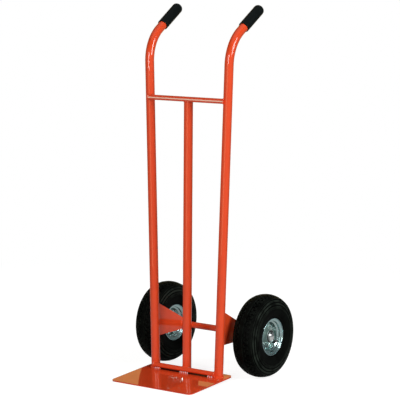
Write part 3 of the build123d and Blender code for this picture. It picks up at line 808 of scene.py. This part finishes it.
def tyre_half(settings, node):
    """Half of the tyre's outer line from the middle of the crown to the bead, as (along X, radius).

    Also its outward normals, the depth of its ring grooves, the rows that the slots cut, the zigzag's share
    and the share of dust and painted light. Crown: radius = R - A + sqrt(A^2 - x^2). Sidewall: an arc through
    the shoulder, the widest point and the root.
    """
    low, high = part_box(node)
    edge = settings.tread_width / 2
    crown = np.round((high.z - low.z) / 2 / MM) * MM
    arc = (edge**2 + settings.crown_drop**2) / (2 * settings.crown_drop)
    width, depth, pitch = settings.groove_width, settings.groove_depth, settings.groove_pitch
    groove = settings.centre_rib / 2 + width / 2 + pitch * np.arange(3)
    wall = np.array([-width / 2 - 0.35 * MM, -width / 2, -width / 2 + 0.35 * MM])
    wall = np.concatenate([wall, -wall[::-1]])
    wall_depth = np.array([0, 0.05, 1, 1, 0.05, 0]) * depth
    blocks = (groove[:2, None] + pitch * np.array([0.38, 0.62])).ravel()
    plain = np.array([0, 2.2, 4.4, 28, 30, 32]) * MM
    ribs = np.concatenate([plain, blocks, [edge - 0.5 * MM, edge]])
    x = np.concatenate([ribs, (groove[:, None] + wall).ravel()])
    ring = np.concatenate([0 * ribs, np.tile(wall_depth, 3)])
    order = np.argsort(x)
    x, ring = x[order], ring[order]
    radius = crown - arc + np.sqrt(arc**2 - x**2)
    inner = width / 2 - 0.4 * MM
    rows = [(x > groove[k] + inner) & (x < groove[k + 1] - inner) for k in (0, 1)]
    sway = np.clip((30 * MM - x) / (4 * MM), 0, 1)
    normal = np.stack([x, radius - crown + arc], 1) / arc

    seat = settings.bead_seat / 2
    shoulder, root = crown - settings.crown_drop, seat + settings.flange + 1.5 * MM
    widest = (high.x - low.x) / 2 - settings.side_rib
    rise, bulge = (shoulder - root) / 2, widest - edge
    side_arc = (rise**2 + bulge**2) / (2 * bulge)
    full = np.arcsin(rise / side_arc)
    # Three half-round rings below the shoulder, a raised ring at the widest point, a thin line by the rim
    rings = np.array([3.3, 12.7, 22.1]) * MM
    waist = full * side_arc
    rim_line = 1.86 * waist
    across = rings[:, None] + np.array([-2, -1.8, -1, 0, 1, 1.8, 2]) * MM
    plain = np.array([0.6, 8, 17.4, 26, 28, 34.5, 37, 39.5, 42, 44.5, 47, 49.5, 52, 54.5, 60, 61]) * MM
    step = np.array([-1.6, -0.6, 0.6, 1.6]) * MM
    run = np.sort(np.concatenate([plain, across.ravel(), waist + step, rim_line + step]))
    turn = full - run / side_arc
    side_normal = np.stack([np.cos(turn), np.sin(turn)], 1)
    side = np.array([widest - side_arc, (shoulder + root) / 2]) + side_arc * side_normal
    hollow = 1 - ((run[:, None] - rings) / (2.0 * MM)) ** 2
    cut = 1.8 * MM * np.sqrt(np.clip(hollow, 0, None)).max(1)
    belt, line = (np.clip(1.6 - np.abs(run - at) / MM, 0, 1) for at in (waist, rim_line))
    hidden = np.array([(-3.05, 6.75), (-4.4, 2.4), (-7.4, 0.05), (-11, 0.05)]) * MM + (edge, seat)
    hidden = np.concatenate([[(edge, root)], hidden])
    # Wax and dust grey the crown and the sidewall, less towards the rim. The grooves' lips carry a painted
    # highlight, and the crack by the rim painted shade.
    lip_highlight_and_dust = np.where((ring > 0) & (ring < 0.1 * depth), 1.4, 0.5)
    dust_and_painted_light_share = np.clip(2.2 - 1.6 * run / waist, 0.45, 1.1) * np.clip((1.95 - run / waist) / 0.1, 0, 1)
    dark = np.zeros(len(hidden))
    rest = np.zeros(len(side) + len(hidden))
    return {
        "base": np.concatenate([np.stack([x, radius], 1), side, hidden]),
        "normal": np.concatenate([normal, side_normal, 0 * hidden]),
        "ring": np.concatenate([ring, cut - belt * settings.side_rib - line * 0.6 * MM, dark]),
        "rows": [np.append(row, rest) for row in rows],
        "sway": np.append(sway, rest),
        "dust_and_painted_light_share": np.concatenate([lip_highlight_and_dust, dust_and_painted_light_share, dark]),
    }


def tyre_grid(settings, node, side):
    """The whole tyre: its half line cut to depth at every angle, mirrored, and closed by a plain inner wall.

    Depth at a place is the larger of its ring groove and, in a row, of its slot; the far half's slots stand
    half a pitch on. Also each point's share of dust and painted light, falling to 0 at 1.5 mm deep: painted
    shade.
    """
    half = tyre_half(settings, node)
    angles, first, second, wave = tread_columns(settings.slot_count)
    ring = half["ring"][:, None]
    skins = []
    for mirror, slots in ((1, (first, second)), (-1, (second, first))):
        cut = sum(row[:, None] * slot for row, slot in zip(half["rows"], slots)) * settings.slot_depth
        deep = np.where(cut > 0, np.maximum(ring, cut), ring)
        x, radius = half["base"].T[..., None] - half["normal"].T[..., None] * deep
        x = mirror * x + settings.zigzag * half["sway"][:, None] * wave
        # Painted shade: the share fades to 0 down into the grooves and slots
        skins.append((x, radius, np.clip(1 - deep / (1.5 * MM), 0, 1.3) * half["dust_and_painted_light_share"][:, None]))
    bead_wall = settings.bead_seat / 2 / MM + 9
    inner = [(22.5, bead_wall), (31.5, 72), (34.8, 90), (32.6, 105), (27.5, 115), (15, 118.7), (0, 120)]
    inner = np.array(inner) * MM
    inner = np.concatenate([inner, inner[-2::-1] * (-1, 1)])
    inner = np.broadcast_to(inner.T[..., None], (2, len(inner), len(angles)))
    parts = zip(*skins, (*inner, 0 * inner[0]))
    x, radius, dust_and_painted_light = (np.concatenate([left[:0:-1], right, inside]) for right, left, inside in parts)
    return middle(node) + turned(side * x, radius, angles), dust_and_painted_light


class HANDTRUCK_OT_tyres(bpy.types.Operator):
    """Build the two tyres with their blocks, grooves and sidewall rings"""

    bl_idname = "hand_truck.tyres"
    bl_label = "Tyres"

    def execute(self, context):
        settings = context.scene.truck_wheel
        finish = rubber_finish(settings)
        tube = plain_finish("butyl_rubber_tube")
        for name, side in SIDES:
            node = f"{name}_tyre"
            grid, dust_and_painted_light = tyre_grid(settings, node, side)
            look = finish, f"{name}_wheel", "tyre_rubber"
            make_piece(f"{node}_casing", [patch(grid)], *look, node, crease=40, dust_and_painted_light=dust_and_painted_light)
            dress(f"{name}_inner_tube", tube)
        return {"FINISHED"}


def rim_section(settings):
    """One rim half as a closed section of (along X, radius): disc, well, step, bead seat, flange and lip.

    The line on the tyre's side is set off by the sheet's thickness to give the line on the axle's side.
    """
    seat = settings.bead_seat / 2
    well = seat - settings.well_drop
    lip_x, lip = 34.5 * MM, seat + settings.flange
    flange = lip_x - 6 * MM
    step = flange - settings.seat_width
    disc = 0.02 * MM
    line = [(disc, round_size("right_hub")[2]), (disc, well - 5 * MM), (5 * MM, well), (step - 3 * MM, well)]
    line += [(step, seat), (flange, seat), (lip_x - 4 * MM, lip - MM), (lip_x, lip)]
    line = np.array(line)
    other = line + side_normals(line, False) * settings.sheet
    bends = np.array([0.2, 2.4, 4, 2.4, 2.4, 2.4, 2.4, 0.85]) * MM
    inner_bends = np.array([0.2, 4, 2.4, 4, 2, 2.4, 2, 0.85]) * MM
    return rounded(np.concatenate([line, other[::-1]]), np.concatenate([bends, inner_bends[::-1]]), 6)


class HANDTRUCK_OT_rims(bpy.types.Operator):
    """Build the two pressed halves of each rim"""

    bl_idname = "hand_truck.rims"
    bl_label = "Rims"

    def execute(self, context):
        settings = context.scene.truck_wheel
        section = rim_section(settings)
        finish = zinc_finish("zinc_plated_pressing", settings, 0.09)
        for name, side in SIDES:
            look = finish, f"{name}_wheel", "zinc_plated_rim"
            for half, way in (("outer", side), ("inner", -side)):
                grid = lathe(section * (way, 1), middle(f"{name}_tyre"), steps=144)
                node = f"{name}_{half}_rim"
                make_piece(f"{node}_pressing", [patch(grid)], *look, node, crease=40)
        return {"FINISHED"}


class HANDTRUCK_OT_hubs(bpy.types.Operator):
    """Build the hubs, dust rings, washers, spacers and axle caps"""

    bl_idname = "hand_truck.hubs"
    bl_label = "Hubs and Caps"

    def execute(self, context):
        settings = context.scene.truck_wheel
        zinc = zinc_finish("zinc_plated_turning", settings, 0.28)
        names = ("bright_plated_cap", "black_nylon_moulding", "white_nylon_cage", "ground_bearing_steel")
        cap, nylon, white, steel = map(plain_finish, names)
        axle = round_size("axle")[2]
        fit = axle + 0.05 * MM
        fixed = zinc, "frame", "zinc_plated_steel"
        for name, side in SIDES:
            wheel, node = f"{name}_wheel", f"{name}_hub"
            radius = round_size(node)[2]
            grids = [patch(bar_grid(node, 0.6 * MM, radius - settings.hub_wall))]
            grids += [self.hub_weld(settings, name, way, radius) for way in (-1, 1)]
            make_piece(f"{node}_tube", grids, zinc, wheel, "zinc_plated_steel", node, crease=45)
            for half in ("outer", "inner"):
                node = f"{name}_{half}_dust_ring"
                grids = [patch(bar_grid(node, 0.5 * MM, axle + 0.5 * MM))]
                grids += [self.ring_lip(node, side)] if half == "outer" else []
                make_piece(f"{node}_moulding", grids, nylon, wheel, "black_nylon", node)
                node = f"{name}_{half}_washer"
                make_piece(f"{node}_disc", [patch(bar_grid(node, 0.3 * MM, fit))], *fixed, node)
            node = f"{name}_spacer"
            make_piece(f"{node}_sleeve", [patch(bar_grid(node, 0.4 * MM, fit))], *fixed, node)
            self.axle_cap(f"{name}_axle_cap", side, cap)
            dress(f"{name}_roller_cage", white)
            dress(f"{name}_rollers", steel)
        return {"FINISHED"}

    def ring_lip(self, node, side):
        """A thin lip round the mouth of a dust ring, which laps over the hub's end."""
        start, end, radius = round_size(node)
        mouth = end if side > 0 else start
        lip = rounded_box(-0.3 * MM, 0.7 * MM, radius - 2.7 * MM, radius + 1.6 * MM, [0.2 * MM] * 4, 3)
        return patch(lathe(lip * (side, 1) + (mouth, 0), (0, *middle(node)[1:])))

    def hub_weld(self, settings, name, way, hub):
        """A bead round the hub where it passes through the rim's disc."""
        ring = turned(way * (settings.sheet + 0.5 * MM), hub + 0.6 * MM, all_round(180))
        return bead(middle(f"{name}_tyre") + ring, 1.8 * MM, 3 * MM, (1, 0, 0), True)

    def axle_cap(self, node, side, finish):
        """A pressed cap: a rolled foot, a short skirt and a dome, radius = sqrt(B^2 - (B - dome + x)^2)."""
        start, end, radius = round_size(node)
        foot = start if side > 0 else end
        skirt, dome, axle, neck = 3 * MM, 5 * MM, 10 * MM, radius - 0.6 * MM
        ball = (radius**2 + dome**2) / (2 * dome)
        t = np.linspace(np.arcsin(radius / ball), 0, 16)
        crown = np.stack([skirt + dome - ball * (1 - np.cos(t)), ball * np.sin(t)], 1)
        edge = rounded_box(0, 1.6 * MM, axle, radius, [0, 0.7 * MM, 0.7 * MM, 0], 5)
        edge = edge[edge[:, 1] > axle + 0.5 * MM]
        waist = [(1.7 * MM, neck), (skirt - 0.4 * MM, neck)]
        line = np.concatenate([[(0, 0), (0, axle)], edge, waist, crown * (1, neck / radius)])
        line[:, 0] = foot + side * line[:, 0]
        grid = lathe(line, (0, *middle(node)[1:]))
        make_piece(f"{node}_dome", [patch(grid, False)], finish, "frame", "bright_cap", node, crease=50)


def hexagon_grid(start, end, flats, bore, domed):
    """A hexagonal nut or head along X from start to end, with its outer corners turned off at 30 degrees.

    Its radius is half the flats over the cosine of the angle off the flat.
    Corner height = end - (hexagon radius - 0.95 half flats) times tan 30.
    """
    t = all_round(48)
    corner = flats / 2 / np.cos((t + np.pi / 6) % (np.pi / 3) - np.pi / 6)
    flat = 0.475 * flats
    way = np.sign(end - start)
    drop = (corner - flat) * np.tan(np.pi / 6)
    top = end + way * domed
    rows = [(start, bore), (start, corner), (end - way * drop, corner), (end, flat)]
    rows += [(top, 0.6 * flat), (top, bore)]
    return np.stack([turned(x, radius, t) for x, radius in rows])


def thread_grid(start, end, radius, pitch):
    """A threaded shank along X: radius less a triangle wave of its place along the helix."""
    x = np.linspace(start, end, max(8, int(abs(end - start) / pitch * 6)))[:, None]
    t = all_round(48)
    turn = (x / pitch + t / TURN) % 1
    return capped(turned(x, radius - 0.5 * pitch * np.abs(2 * turn - 1), t))


class HANDTRUCK_OT_rim_fasteners(bpy.types.Operator):
    """Build the bolts and nuts that hold the rim halves together"""

    bl_idname = "hand_truck.rim_fasteners"
    bl_label = "Rim Bolts and Nuts"

    def execute(self, context):
        settings = context.scene.truck_wheel
        finish = zinc_finish("zinc_plated_fastener", settings, 0.2)
        sheet, nut, tail = settings.sheet, 5 * MM, 2 * MM
        head = hexagon_grid(sheet, sheet + 4 * MM, settings.hexagon, 0, 0.15 * MM)
        shank = thread_grid(sheet, -(sheet + nut + tail), settings.bolt / 2, MM)
        hexagon = hexagon_grid(-sheet, -(sheet + nut), settings.hexagon, settings.bolt / 2 + 0.05 * MM, 0)
        places = turned(0, settings.bolt_circle / 2, np.radians(45) + all_round(4))
        for name, side in SIDES:
            look = finish, f"{name}_wheel", "zinc_plated_steel"
            spots = middle(f"{name}_tyre") + places
            bolts = [patch(shape * (side, 1, 1) + spot, False) for spot in spots for shape in (head, shank)]
            nuts = [patch(hexagon * (side, 1, 1) + spot) for spot in spots]
            make_piece(f"{name}_rim_bolt_set", bolts, *look, f"{name}_rim_bolts", crease=25)
            make_piece(f"{name}_rim_nut_set", nuts, *look, f"{name}_rim_nuts", crease=25)
        return {"FINISHED"}


class HANDTRUCK_OT_valves(bpy.types.Operator):
    """Build the valve stems and their caps"""

    bl_idname = "hand_truck.valves"
    bl_label = "Valves"

    def execute(self, context):
        settings = context.scene.truck_wheel
        rubber, plastic = map(plain_finish, ("valve_rubber_moulding", "valve_cap_plastic"))
        start, end, radius = round_size("right_hub")
        hole = np.array([10 * MM, settings.bead_seat / 2 - settings.well_drop - settings.sheet / 2])
        lean_out = np.array([(end - start) / 2 + 6 * MM, radius + 10 * MM]) - hole
        out = np.array([0, np.cos(settings.valve_angle), np.sin(settings.valve_angle)])
        # Both profiles run along the stem from the hole, in millimetres
        far = np.linalg.norm(lean_out) / MM
        mouth, tip = far - 9, far - 1.8
        stem = [(-2, 0), (-2, 5.4), (1.2, 6), (3.4, 4.2), (6, 3.8)]
        stem += [(mouth, 3.8), (mouth, 2.6), (tip, 2.6), (tip, 0)]
        stem = rounded(np.array(stem) * MM, np.array([0, 0.4, 0.6, 1, 1, 0.3, 0, 0, 0]) * MM)
        roof = far - 1.7
        cap = [(mouth, 2.65), (mouth, 4.2), (far, 4.0), (far, 0), (roof, 0), (roof, 2.65)]
        cap = rounded(np.array(cap) * MM, np.array([0, 0.3, 0.8, 0, 0, 0]) * MM)
        # The root stands on the inner tube
        root = rounded_box(-3.8 * MM, 15.7 * MM, 0, 3.8 * MM, [0, 3.7 * MM, 0, 0])
        for name, side in SIDES:
            way = np.array([side, 0, 0])
            origin = middle(f"{name}_tyre") + hole[0] * way + hole[1] * out
            axis = lean_out[0] * way + lean_out[1] * out
            wheel, node = f"{name}_wheel", f"{name}_valve_stem"
            grids = [patch(lathe(stem, origin, axis, 40)), patch(lathe(root, origin, out, 40))]
            make_piece(f"{node}_moulding", grids, rubber, wheel, "valve_rubber", node)
            node = f"{name}_valve_cap"
            grid = self.knurled(lathe(cap, origin, axis, 72), cap)
            make_piece(f"{node}_moulding", [patch(grid)], plastic, wheel, "black_nylon", node)
        return {"FINISHED"}

    def knurled(self, grid, profile):
        """Ribs along a cap: every other pair of columns drawn in by 4% where the cap is widest."""
        centre = grid.mean(1, keepdims=True)
        inward = np.where(np.arange(grid.shape[1]) % 4 < 2, 0.04, 0.0)[None, :, None]
        return grid - (grid - centre) * inward * (profile[:, 1] > 3.7 * MM)[:, None, None]


# Studio


class HANDTRUCK_OT_stage(bpy.types.Operator):
    """Set up the floor, the light and the camera"""

    bl_idname = "hand_truck.stage"
    bl_label = "Studio"

    def execute(self, context):
        settings = context.scene.truck_stage
        context.scene.view_settings.view_transform = "Standard"
        self.floor(settings)
        self.world(context.scene, settings)
        # Each lamp's name, power, size in metres, place and tint, and whether gloss mirrors it
        white, warm = linear("#FFFFFF"), linear("#FFE4AD")
        lamps = (
            ("side_softbox", settings.key, 2.0, (4.2, -0.3, 2.55), white, True),
            ("front_softbox", settings.lamp, 1.6, (0.85, -3.7, 1.6), white, True),
            ("low_panel", settings.card, 1.0, (0.15, -2.2, 0.5), warm, True),
            ("back_lamp", settings.back, 1.2, (-3.25, 2.25, 1.15), white, False),
        )
        # The flat sheet has the first three as lamps of its own that its gloss doesn't mirror,
        # because a mirrored lamp looks like a white hole in it
        for tail, state, count in (("", "EXCLUDE", 4), ("_on_sheet", "INCLUDE", 3)):
            lit = bpy.data.collections.new("lit" + tail)
            lit.objects.link(bpy.data.objects["toe_plate_sheet"])
            lit.collection_objects[0].light_linking.link_state = state
            for name, *lamp, mirrored in lamps[:count]:
                self.softbox(name + tail, *lamp, lit, mirrored and not tail)
        self.camera(context.scene, settings)
        return {"FINISHED"}

    def floor(self, settings):
        """A level square of floor that keeps the shadow: white to the camera, and dimmer to mirrors."""
        half_side = 9.0
        corners = half_side * np.array([(-1, -1, 0), (1, -1, 0), (1, 1, 0), (-1, 1, 0)])
        mesh = bpy.data.meshes.new("studio_floor")
        mesh.from_pydata(corners.tolist(), [], [(0, 1, 2, 3)])
        # Matt grey paint. A plain glow makes it white to the camera where nothing shades it.
        material, tree, place, shade = new_finish("painted_studio_floor", (0.4, 1.0))
        tone = between(tree, shade, settings.floor, 0.98 * settings.floor)
        matt = add(tree, "BsdfDiffuse", {"Color": tone})
        to_camera, to_mirrors = 0.86, 0.22
        glow = add(tree, "Emission", {"Strength": self.seen(tree, to_camera, to_mirrors)})
        # From 0.6 to 2.2 m away from the truck it passes into the background
        reach = add(tree, "VectorMath", {0: place}, "Value", operation="LENGTH")
        fade = {"Value": reach, "From Min": 0.6, "From Max": 2.2}
        fade = add(tree, "MapRange", fade, interpolation_type="SMOOTHSTEP")
        far = add(tree, "Emission", {"Color": self.backdrop(tree, place, settings)})
        mixed = {0: fade, 1: add(tree, "AddShader", {0: matt, 1: glow}), 2: far}
        add(tree, "OutputMaterial", {"Surface": add(tree, "MixShader", mixed)})
        mesh.materials.append(material)
        item = bpy.data.objects.new("studio_floor", mesh)
        bpy.context.scene.collection.objects.link(item)

    def seen(self, tree, level, mirrored):
        """One level for rays from the camera, another for those from mirrors or glass, none for the rest."""
        kinds = ("Camera", "Glossy", "Transmission")
        camera, glossy, through = (add(tree, "LightPath", out=f"Is {kind} Ray") for kind in kinds)
        mirror = add(tree, "Math", {0: glossy, 1: through}, operation="MAXIMUM")
        dim = add(tree, "Math", {0: mirror, 1: mirrored}, operation="MULTIPLY")
        return add(tree, "Math", {0: camera, 1: level, 2: dim}, operation="MULTIPLY_ADD")

    def backdrop(self, tree, place, settings):
        """White to the camera. To mirrors, a dim room with wings beside, a tan cloth behind and a ceiling.

        The share of each goes by the cosine between a direction and the camera's own, or straight up.
        """
        back = (-np.sin(settings.azimuth), np.cos(settings.azimuth), 0)
        up = (0, 0, 1)
        bands = (
            (back, -0.4, 0.1, settings.wings),
            (back, 0.78, 0.9, settings.cloth),
            (up, 0.37, 0.5, settings.ceiling),
            (up, 0.7, 0.85, settings.skylight),
        )
        way = add(tree, "VectorMath", {0: place}, operation="NORMALIZE")
        shade = settings.room
        for axis, low, high, tone in bands:
            cosine = add(tree, "VectorMath", {0: way, 1: axis}, "Value", operation="DOT_PRODUCT")
            share = {"Value": cosine, "From Min": low, "From Max": high}
            share = add(tree, "MapRange", share, interpolation_type="SMOOTHSTEP")
            shade = between(tree, share, shade, tone)
        return between(tree, add(tree, "LightPath", out="Is Camera Ray"), shade, (1.0, 1.0, 1.0))

    def world(self, scene, settings):
        """Even light from all round, and the backdrop to the camera, mirrors and glass."""
        world = bpy.data.worlds.new("white_studio")
        world.use_nodes = True
        tree = world.node_tree
        tree.nodes.clear()
        ray = add(tree, "TexCoord", out="Generated")
        light = add(tree, "Background", {"Color": (1, 1, 1, 1), "Strength": settings.ambient})
        room = add(tree, "Background", {"Color": self.backdrop(tree, ray, settings)})
        mixed = add(tree, "MixShader", {0: self.seen(tree, 1.0, 1.0), 1: light, 2: room})
        add(tree, "OutputWorld", {"Surface": mixed})
        scene.world = world

    def put(self, item, place, *axes):
        """Puts a lamp or camera at a place, with its own X, Y and Z along three axes."""
        item.matrix_world = Matrix.Translation(place) @ Matrix(np.stack(axes, 1).tolist()).to_4x4()
        bpy.context.scene.collection.objects.link(item)

    def softbox(self, name, power, size, place, tint, lit, mirrored):
        """A square lamp aimed at the middle of the truck, what it lights and whether gloss mirrors it."""
        lamp = bpy.data.lights.new(name, "AREA")
        lamp.energy, lamp.size, lamp.color = power, size, tint
        lamp.cycles.use_multiple_importance_sampling = mirrored
        item = bpy.data.objects.new(name, lamp)
        target = (0, 0, 0.5)
        back = unit(np.array(place) - target)
        right = unit(np.cross((0, 0, 1), back))
        self.put(item, place, right, np.cross(back, right), back)
        item.visible_camera, item.visible_glossy = False, mirrored
        item.light_linking.receiver_collection = lit

    def camera(self, scene, settings):
        """The camera: round by the azimuth, then yawed, pitched and rolled about its own axes."""
        lens = bpy.data.cameras.new("camera")
        film_width = 36
        lens.sensor_width, lens.lens = film_width, film_width * settings.focal
        item = bpy.data.objects.new("camera", lens)
        a, heading = settings.azimuth, settings.azimuth + settings.yaw
        place = (np.sin(a) * settings.distance, -np.cos(a) * settings.distance, settings.height)
        level = np.array([-np.sin(heading), np.cos(heading), 0])
        ahead = level * np.cos(settings.pitch) - np.array([0, 0, np.sin(settings.pitch)])
        right = np.array([np.cos(heading), np.sin(heading), 0])
        up = np.cross(right, ahead)
        c, s = np.cos(settings.roll), np.sin(settings.roll)
        self.put(item, place, right * c + up * s, up * c - right * s, -ahead)
        scene.camera = item


class HANDTRUCK_PT_panel(bpy.types.Panel):
    """Lists the steps that build the hand truck"""

    bl_label = "Crate Hand Truck"
    bl_idname = "HANDTRUCK_PT_panel"
    bl_space_type = "VIEW_3D"
    bl_region_type = "UI"
    bl_category = "Hand Truck"

    def draw(self, context):
        for operator in OPERATORS:
            self.layout.operator(operator.bl_idname)
        for name, group in GROUPS:
            box = self.layout.box()
            for setting in group.__annotations__:
                box.prop(getattr(context.scene, name), setting)


OPERATORS = (
    HANDTRUCK_OT_frame_tubes,
    HANDTRUCK_OT_toe_plate,
    HANDTRUCK_OT_axle_carrier,
    HANDTRUCK_OT_grips,
    HANDTRUCK_OT_welds,
    HANDTRUCK_OT_tyres,
    HANDTRUCK_OT_rims,
    HANDTRUCK_OT_hubs,
    HANDTRUCK_OT_rim_fasteners,
    HANDTRUCK_OT_valves,
    HANDTRUCK_OT_stage,
)
GROUPS = (
    ("truck_frame", TruckFrameSettings),
    ("truck_wheel", TruckWheelSettings),
    ("truck_stage", TruckStageSettings),
)


def register():
    """Registers the settings, the operators and the panel."""
    for name, group in GROUPS:
        bpy.utils.register_class(group)
        setattr(bpy.types.Scene, name, PointerProperty(type=group))
    for item in (*OPERATORS, HANDTRUCK_PT_panel):
        bpy.utils.register_class(item)


def unregister():
    """Removes the panel, the operators and the settings."""
    for item in (HANDTRUCK_PT_panel, *reversed(OPERATORS)):
        bpy.utils.unregister_class(item)
    for name, group in reversed(GROUPS):
        delattr(bpy.types.Scene, name)
        bpy.utils.unregister_class(group)


def main():
    """Builds the truck and its studio."""
    register()
    bpy.ops.hand_truck.frame_tubes()
    bpy.ops.hand_truck.toe_plate()
    bpy.ops.hand_truck.axle_carrier()
    bpy.ops.hand_truck.grips()
    bpy.ops.hand_truck.welds()
    bpy.ops.hand_truck.tyres()
    bpy.ops.hand_truck.rims()
    bpy.ops.hand_truck.hubs()
    bpy.ops.hand_truck.rim_fasteners()
    bpy.ops.hand_truck.valves()
    bpy.ops.hand_truck.stage()


if __name__ == "__main__":
    main()
